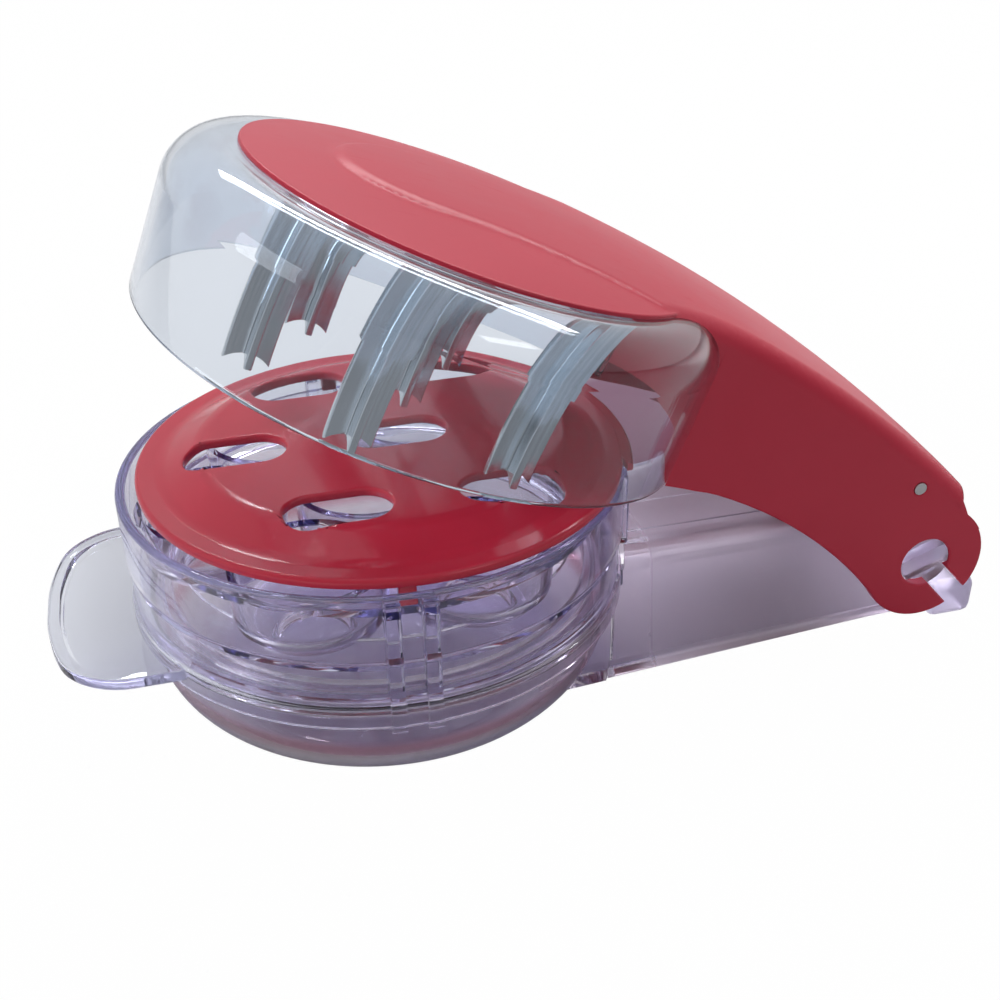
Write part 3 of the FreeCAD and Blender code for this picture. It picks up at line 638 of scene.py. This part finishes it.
def buildTray(look):
    r, w, step, seat = (look[k] for k in ("radius", "wall", "step", "seat"))
    places = cupPlaces(look)
    parts = trayDecks(look) + [cupBody(look, place) for place in places]
    inner, ribTop = r - w - step - look["ribReach"], look["deckTop"] + look["deck"]
    for degrees in look["ribTurns"]:
        for first, last in pairSpans(look):
            rib = boxShape((inner, first, seat + look["ribLift"]), (r - w / 2, last, ribTop), look["ribEdge"])
            parts.append(turnAbout(rib, degrees))
    out, (foot, head) = r + look["strapReach"], look["strapSpan"]
    lap, lapTop = (seat + rise for rise in look["strapLap"])
    edge, footEdge = look["strapEdges"]
    for degrees in look["strapTurns"]:
        for first, last in pairSpans(look):
            upper = boxShape((r - w / 2, first, lap), (out, last, head), edge)
            lower = boxShape((r + look["strapGap"], first, foot), (out, last, lapTop), footEdge)
            parts += [turnAbout(upper, degrees), turnAbout(lower, degrees)]
    half, (low, high) = look["clipHalf"], look["clipSpan"]
    for degrees in look["clipTurns"]:
        clip = boxShape((r - step - look["clipBite"], -half, low), (r + look["clipReach"], half, high),
                        look["clipEdge"])
        parts.append(turnAbout(clip, degrees))
    hollows = [cupHollow(look, place) for place in places]
    shape = combined(combined(trayWall(look), parts, "UNION"), hollows, "DIFFERENCE")
    nodes = ["tray_wall", "tray_deck"] + ["tray_cup_" + name for name in cupNames]
    finishPiece(shape, "cherryTray", clearTray, "frame", nodes)


buildTray(trayLook)


# each plunger, and the slot that it goes through, follows an arc about the hinge through its cup's hole
def arcReach(place):
    return math.hypot(hingePlace.x / mm - place[0], trayLook["cupBottom"] - hingePlace.z / mm)


def arcX(reach, height):
    return hingePlace.x / mm - math.sqrt(reach ** 2 - (height - hingePlace.z / mm) ** 2)


# splash shield, open at the back for the base's bar
shieldLook = {
    "radius": 51.0, "lead": -1.8, "wall": 1.4, "bottom": 22.6, "top": 51.55, "shoulder": 9.0, "neck": 39.9,
    "neckEdge": 0.2, "lip": 0.5, "steps": 160, "doorHalf": 19.5, "doorTop": 47.0, "doorStart": 0.4,
}


def buildShield(look):
    r, w, low, top, turn, lip = (look[k] for k in ("radius", "wall", "bottom", "top", "shoulder", "lip"))
    neck, edge = look["neck"], look["neckEdge"]
    shell = turned([
        (r, low, lip), (r, top, turn), (neck, top, edge), (neck, top - w, edge),
        (r - w, top - w, turn - w), (r - w, low, lip),
    ], centre=(look["lead"], 0.0), steps=look["steps"])
    door = boxShape((r * look["doorStart"], -look["doorHalf"], low - cutClear),
                    (2 * r, look["doorHalf"], look["doorTop"]))
    shape = swungOpen(combined(shell, [door], "DIFFERENCE"))
    finishPiece(shape, "splashShield", clearShield, "head", ["splash_shield"])


buildShield(shieldLook)

# stripper plate with rolled slot edges, four legs and a lip in the shield's doorway
plateLook = {
    "radius": 45.2, "shift": 1.8, "edge": 44.4, "thickness": 1.8, "rise": 3.2, "border": 4.6, "blend": 7.04,
    "rim": 0.8, "hem": 0.3, "crease": 1.4, "underStep": 0.4, "steps": 128,
    "slotLength": 18.6, "slotLead": 1.6, "slotWidth": 10.2, "slotRoll": 0.6, "merge": 0.02, "flatten": 0.5,
    "rollAngle": 48.0, "rollUpright": 0.2, "rollMargin": 2.0,
    "legReach": 43.1, "legDepth": 2.0, "legWidth": 3.0, "legFoot": 40.0, "legEdge": 0.3,
    "legTurns": (-93.0, 93.0, -18.0, 18.0),
    "lipReach": 50.5, "lipHalf": 18.6, "lipLap": 4.0, "lipInset": 0.1, "lipSpan": (44.0, 60.0),
}


def rollSlots(shape, look):
    # rounds the upright slot edges, and leaves the plate's own rim as it is
    bmesh.ops.remove_doubles(shape, verts=shape.verts, dist=look["merge"] * mm)
    bmesh.ops.dissolve_limit(shape, angle_limit=math.radians(look["flatten"]), verts=shape.verts, edges=shape.edges)
    reach = (look["radius"] - look["rollMargin"]) * mm
    rolled = [e for e in sharpEdges(shape, look["rollAngle"])
              if min(abs(f.normal.z) for f in e.link_faces) < look["rollUpright"]
              and Vector((e.verts[0].co.x - look["shift"] * mm, e.verts[0].co.y)).length < reach]
    rounded(shape, rolled, look["slotRoll"], 3, clamp_overlap=False)


def plateLip(look):
    low, high = look["edge"] + look["lipInset"], look["edge"] + look["thickness"] - look["lipInset"]
    start, reach = look["radius"] - look["border"] - look["lipLap"], look["lipReach"]
    lip = turned([(start, low, 0.0), (reach, low, look["hem"]), (reach, high, look["rim"]), (start, high, 0.0)],
                 centre=(shieldLook["lead"], 0.0), steps=look["steps"])
    first, last = look["lipSpan"]
    sector = boxShape((first, -look["lipHalf"], look["edge"] - cutClear),
                      (last, look["lipHalf"], look["edge"] + look["thickness"] + cutClear))
    return combined(lip, [sector], "INTERSECT")


def buildPlate(look):
    r, edge, t, hem, crease = (look[k] for k in ("radius", "edge", "thickness", "hem", "crease"))
    inner = r - look["border"]
    flat = inner - look["blend"]
    top = edge + t + look["rise"]
    back = look["underStep"] * t
    shape = turned([
        (0.0, top - t, 0.0), (flat - back, top - t, crease), (inner - back, edge, crease), (r, edge, hem),
        (r, edge + t, look["rim"]), (inner, edge + t, crease), (flat, top, crease), (0.0, top, 0.0),
    ], centre=(look["shift"], 0.0), closed=False, steps=look["steps"])
    cutters = []
    for place in cupPlaces(trayLook):
        slot = (arcX(arcReach(place), top) + look["slotLead"], place[1])
        cutters.append(capsulePrism(slot, look["slotLength"], look["slotWidth"], edge - cutClear, top + cutClear))
    shape = combined(shape, cutters, "DIFFERENCE")
    rollSlots(shape, look)
    half = look["legWidth"] / 2
    legs = [turnAbout(boxShape((look["legReach"] - look["legDepth"], -half, look["legFoot"]),
                               (look["legReach"], half, edge + t / 2), look["legEdge"]), degrees)
            for degrees in look["legTurns"]]
    shape = combined(shape, legs + [plateLip(look)], "UNION")
    finishPiece(shape, "stripperPlate", glossRed, "frame", ["stripper_plate"])


buildPlate(plateLook)

# base frame: ring under the tray, thumb tab, hollow bar with a flange, hinge stubs and foot
baseLook = {
    "ring": 47.2, "opening": 42.0, "top": 22.0, "plate": 1.8, "lip": 2.5, "lipRadius": 45.6, "bite": 0.3,
    "tabTip": 62.6, "tabShoulder": 57.5, "tabHalf": 26.5, "tabRoot": 38.0, "tabTipHalf": 10.0,
    "tabShoulderRound": 9.5, "tabTipRound": 7.0, "tabThickness": 2.2, "tabBorder": 2.2, "tabDish": 0.7,
    "tabEdge": 0.5, "tabRimAngle": 60.0,
    "front": 34.0, "end": 113.0, "half": 17.0, "height": 26.2, "lift": 0.5, "wall": 2.0, "wallFlare": 3.9,
    "shoulder": 4.6, "hollowRound": 2.6, "trayGap": 47.6, "trayClear": 0.02, "cutTop": 30.0,
    "flange": 2.4, "flare": 6.68, "flangeShort": 0.5, "flangeRound": 0.8,
    "panel": 11.0, "panelRise": 0.25, "panelEdge": 0.2, "ridge": 1.0, "ridgeRise": 0.5, "ridgeEdge": 0.25,
    "rear": 103.8, "notch": (44.0, 53.6), "notchDepth": 0.7, "notchFace": 1.6, "notchLow": 20.6, "notchEdge": 0.3,
    "foot": (111.0, 121.0), "footHalf": 21.6, "footHeight": 8.6, "footRound": 2.0,
    "boss": 8.0, "bossSpan": (15.0, 21.6), "bossEdge": 0.4,
    "stub": 5.2, "stubTip": 24.1, "stubLap": 1.0, "stubEdge": 0.3, "stubFlat": 4.4, "stubTurn": -20.0,
    "flatReach": 9.0,
}


def sidePeg(radius, y0, y1, edge):
    # a peg along Y at the hinge
    shape = bmesh.new()
    bmesh.ops.create_cone(shape, cap_ends=True, segments=72, radius1=radius * mm, radius2=radius * mm,
                          depth=(y1 - y0) * mm)
    rims = [e for e in shape.edges if abs(e.verts[0].co.z - e.verts[1].co.z) < weldReach]
    rounded(shape, rims, edge, 3)
    turnAbout(shape, 90.0, "X")
    bmesh.ops.translate(shape, vec=hingePlace + Vector((0.0, (y0 + y1) * mm / 2, 0.0)), verts=shape.verts)
    return shape


def taperedBar(look, inset, low, high, flare, ends):
    # a box along X whose sides lean out to the table, and more so towards the ring; the lean sets its width
    shape = boxShape((ends[0], sides[0], low), (ends[1], sides[1], high))
    for vert in shape.verts:
        lean = flare * (look["end"] - vert.co.x / mm) / (look["end"] - look["front"])
        half = look["half"] - inset + lean * (look["height"] - vert.co.z / mm) / look["height"]
        vert.co.y = math.copysign(half * mm, vert.co.y)
    return shape


def buildTab(look):
    shape = bmesh.new()
    low = look["top"] - look["tabThickness"]
    half, tipHalf = look["tabHalf"], look["tabTipHalf"]
    root, shoulder, tip = (-look[k] for k in ("tabRoot", "tabShoulder", "tabTip"))
    turn, tipTurn = look["tabShoulderRound"], look["tabTipRound"]
    corners = [(root, -half, 0.0), (shoulder, -half, turn), (tip, -tipHalf, tipTurn), (tip, tipHalf, tipTurn),
               (shoulder, half, turn), (root, half, 0.0)]
    verts = [shape.verts.new((x * mm, y * mm, low * mm)) for x, y, reach in corners]
    shape.faces.new(verts)
    for vert, (x, y, reach) in zip(verts, corners):
        if reach:
            rounded(shape, [vert], reach, 10, "VERTICES")
    thickened(shape, look["tabThickness"])
    # a dish in the top, inside a border; the face with many corners is the one inside the border
    for inset, depth in ((look["tabBorder"], 0.0), (look["tabDish"], -look["tabDish"])):
        top = [f for f in shape.faces if f.normal.z > 0.9 and len(f.verts) > 12]
        bmesh.ops.inset_region(shape, faces=top, thickness=inset * mm, depth=depth * mm, use_even_offset=True,
                               use_boundary=True)
    rounded(shape, sharpEdges(shape, look["tabRimAngle"]), look["tabEdge"], 3)
    return shape


def buildBar(look):
    front, end, rear, lift, height, wall = (look[k] for k in ("front", "end", "rear", "lift", "height", "wall"))
    shell = taperedBar(look, 0.0, lift, height, look["wallFlare"], (front, end))
    rims = [e for e in shell.edges if all(v.co.z > (height - faceReach) * mm for v in e.verts)
            and max(v.co.x for v in e.verts) > (end - faceReach) * mm]
    rounded(shell, rims, look["shoulder"], 8)
    flange = taperedBar(look, 0.0, lift, lift + look["flange"], look["flare"], (front, end - look["flangeShort"]))
    lengthwise = [e for e in flange.edges if abs(e.verts[0].co.x - e.verts[1].co.x) > (end - front) / 2 * mm]
    rounded(flange, lengthwise, look["flangeRound"], 4)
    low = height - wall / 2
    ridge = boxShape((front, -look["ridge"], low), (rear, look["ridge"], height + look["ridgeRise"]),
                     look["ridgeEdge"])
    panel = boxShape((front, -look["panel"], low), (rear, look["panel"], height + look["panelRise"]),
                     look["panelEdge"])
    foot = boxShape((look["foot"][0], -look["footHalf"], 0.0),
                    (look["foot"][1], look["footHalf"], look["footHeight"]), look["footRound"])
    inside = taperedBar(look, wall, -cutClear, height - wall, look["wallFlare"], (front - cutClear, end - wall))
    upper = [e for e in inside.edges if all(v.co.z > lift * mm for v in e.verts)]
    rounded(inside, upper, look["hollowRound"], 5)
    cutters = [inside]
    first, last = look["notch"]
    for side in sides:
        y0, y1 = sorted((side * (look["half"] + look["notchFace"] - look["notchDepth"]), side * 2 * look["half"]))
        cutters.append(boxShape((first, y0, look["notchLow"]), (last, y1, height + 2 * cutClear),
                                look["notchEdge"]))
    return combined(combined(shell, [flange, panel, ridge, foot], "UNION"), cutters, "DIFFERENCE")


def buildStub(look, side):
    # a stub with two flats, so that the lever's keyhole slips over it
    y0, y1 = sorted((side * (look["bossSpan"][1] - look["stubLap"]), side * look["stubTip"]))
    reach, half = look["flatReach"], look["stubFlat"] / 2
    flats = turnAbout(boxShape((-reach, y0 - cutClear, -half), (reach, y1 + cutClear, half)), look["stubTurn"], "Y")
    bmesh.ops.translate(flats, vec=(hingePlace.x, 0.0, hingePlace.z), verts=flats.verts)
    return combined(sidePeg(look["stub"], y0, y1, look["stubEdge"]), [flats], "INTERSECT")


def buildBase(look):
    opening, lipRadius, ring, top, bite = (look[k] for k in ("opening", "lipRadius", "ring", "top", "bite"))
    under = top - look["plate"]
    low = under - look["lip"]
    body = combined(buildBar(look), [buildTab(look)], "UNION")
    body = combined(body, [disc(lipRadius + bite, -cutClear, under + bite),
                           disc(opening + bite, -2 * cutClear, look["cutTop"]),
                           disc(look["trayGap"], top - look["trayClear"], look["cutTop"])], "DIFFERENCE")
    parts = [turned([
        (opening, under, 0.3), (lipRadius, under, 0.3), (lipRadius, low, 0.3),
        (ring, low, 0.6), (ring, top, 0.5), (opening, top, 0.4),
    ])]
    for side in sides:
        y0, y1 = sorted(side * v for v in look["bossSpan"])
        parts += [sidePeg(look["boss"], y0, y1, look["bossEdge"]), buildStub(look, side)]
    shape = combined(body, parts, "UNION")
    finishPiece(shape, "baseFrame", clearBase, "frame", ["base_frame"])


buildBase(baseLook)

# two thin rests on the bowl's side that carry on the bar's walls up to the bowl
restLook = {"front": 26.0, "back": 60.0, "outer": 45.72, "high": 17.0, "gap": 0.06}


def buildRests(look):
    bar, bowl, gap, high = baseLook, bowlLook, look["gap"], look["high"]
    low, flare = bar["lift"], bar["wallFlare"]
    ends = (look["front"], look["back"])
    walls = taperedBar(bar, 0.0, low, high, flare, ends)
    sole = taperedBar(bar, 0.0, low, low + bar["flange"], bar["flare"], ends)
    hollow = taperedBar(bar, bar["wall"], low - cutClear, high + cutClear, flare,
                        (look["front"] - 2 * cutClear, look["back"] + 2 * cutClear))
    dish = turned([
        (0.0, -gap, 0.0), (bowl["turnIn"] + gap, -gap, bowl["curve"]),
        (bowl["radius"] + gap, bowl["height"], 0.0), (0.0, bowl["height"], 0.0),
    ], closed=False)
    shape = combined(walls, [sole], "UNION")
    shape = combined(shape, [disc(look["outer"], -cutClear, high + 2 * cutClear)], "INTERSECT")
    shape = combined(shape, [hollow, dish], "DIFFERENCE")
    finishPiece(shape, "bowlRests", clearBase, "bowl", ["pit_bowl"])


buildRests(restLook)

# plungers: six curved crosses of two widths, with a hollowed tip and a round head
plungerLook = {
    "tip": 14.8, "step": 33.0, "top": 51.4, "wing": 4.2, "blade": 1.5, "shankWing": 4.7, "shankBlade": 2.2,
    "edge": 0.3, "lap": 1.0, "shankDrop": 0.2, "steps": 14,
    "ball": 6.0, "ballDrop": 3.4, "head": 6.6, "headThickness": 0.8, "headRound": 0.2, "headSteps": 48,
}


def crossSweep(look, wing, blade, place, low, high):
    # a plus-shaped face turned about the hinge between two heights
    shape = bmesh.new()
    b = blade / 2
    corners = [(b, wing), (-b, wing), (-b, b), (-wing, b), (-wing, -b), (-b, -b),
               (-b, -wing), (b, -wing), (b, -b), (wing, -b), (wing, b), (b, b)]
    reach = arcReach(place)
    start = hingePlace - Vector((reach * mm, 0.0, 0.0))
    shape.faces.new([shape.verts.new(start + Vector((u * mm, (place[1] + v) * mm, 0.0))) for u, v in corners])
    rounded(shape, shape.verts[:], look["edge"], 2, "VERTICES")
    first, last = (math.asin((z - hingePlace.z / mm) / reach) for z in (low, high))
    bmesh.ops.rotate(shape, cent=hingePlace, matrix=Matrix.Rotation(first, 3, "Y"), verts=shape.verts)
    bmesh.ops.spin(shape, geom=shape.faces[:] + shape.edges[:] + shape.verts[:], cent=hingePlace,
                   axis=(0.0, 1.0, 0.0), dvec=(0.0, 0.0, 0.0), angle=last - first, steps=look["steps"],
                   use_merge=False, use_duplicate=False)
    bmesh.ops.recalc_face_normals(shape, faces=shape.faces)
    return shape


def buildPlunger(look, name, place):
    reach, y = arcReach(place), place[1]
    tip, step, top, head, turn = (look[k] for k in ("tip", "step", "top", "head", "headRound"))
    blade = crossSweep(look, look["wing"], look["blade"], place, tip, step + look["lap"])
    shank = crossSweep(look, look["shankWing"], look["shankBlade"], place, step, top - look["shankDrop"])
    rim = top - look["headThickness"]
    cap = turned([(0.0, rim, 0.0), (head, rim, turn), (head, top, turn), (0.0, top, 0.0)],
                 centre=(arcX(reach, top), y), closed=False, steps=look["headSteps"])
    ball = bmesh.new()
    bmesh.ops.create_uvsphere(ball, u_segments=48, v_segments=24, radius=look["ball"] * mm)
    bmesh.ops.translate(ball, vec=(arcX(reach, tip) * mm, y * mm, (tip - look["ballDrop"]) * mm), verts=ball.verts)
    shape = swungOpen(combined(combined(blade, [shank, cap], "UNION"), [ball], "DIFFERENCE"))
    piece = "plunger" + "".join(word.capitalize() for word in name.split("_"))
    finishPiece(shape, piece, plungerMetal, "head", ["plunger_" + name])


for name, place in zip(cupNames, cupPlaces(trayLook)):
    buildPlunger(plungerLook, name, place)

# lever, with the outline of its cheeks softened
leverLook = {"cheek": 24.4, "cheekReach": 0.02, "edge": 0.5, "merge": 0.03, "flatten": 0.3, "outlineAngle": 40.0}


def buildLever(look):
    shape = bmesh.new()
    shape.from_mesh(cadNodes["lever"].data)
    bmesh.ops.remove_doubles(shape, verts=shape.verts, dist=look["merge"] * mm)
    bmesh.ops.dissolve_limit(shape, angle_limit=math.radians(look["flatten"]), verts=shape.verts, edges=shape.edges)
    outline = [e for e in sharpEdges(shape, look["outlineAngle"])
               if all(abs(abs(v.co.y) - look["cheek"] * mm) < look["cheekReach"] * mm for v in e.verts)]
    rounded(shape, outline, look["edge"], 3, clamp_overlap=False)
    finishPiece(shape, "leverMoulding", satinRed, "head", ["lever"])


buildLever(leverLook)

# finishes on the CAD nodes that stay
nodeLooks = {
    "plunger_carrier": satinRed, "carrier_screws": brightWire, "spring_pin": brightWire, "return_spring": brightWire,
}
for name, finish in nodeLooks.items():
    cadNodes[name].data.materials.clear()
    cadNodes[name].data.materials.append(finish)
print("finishes given")
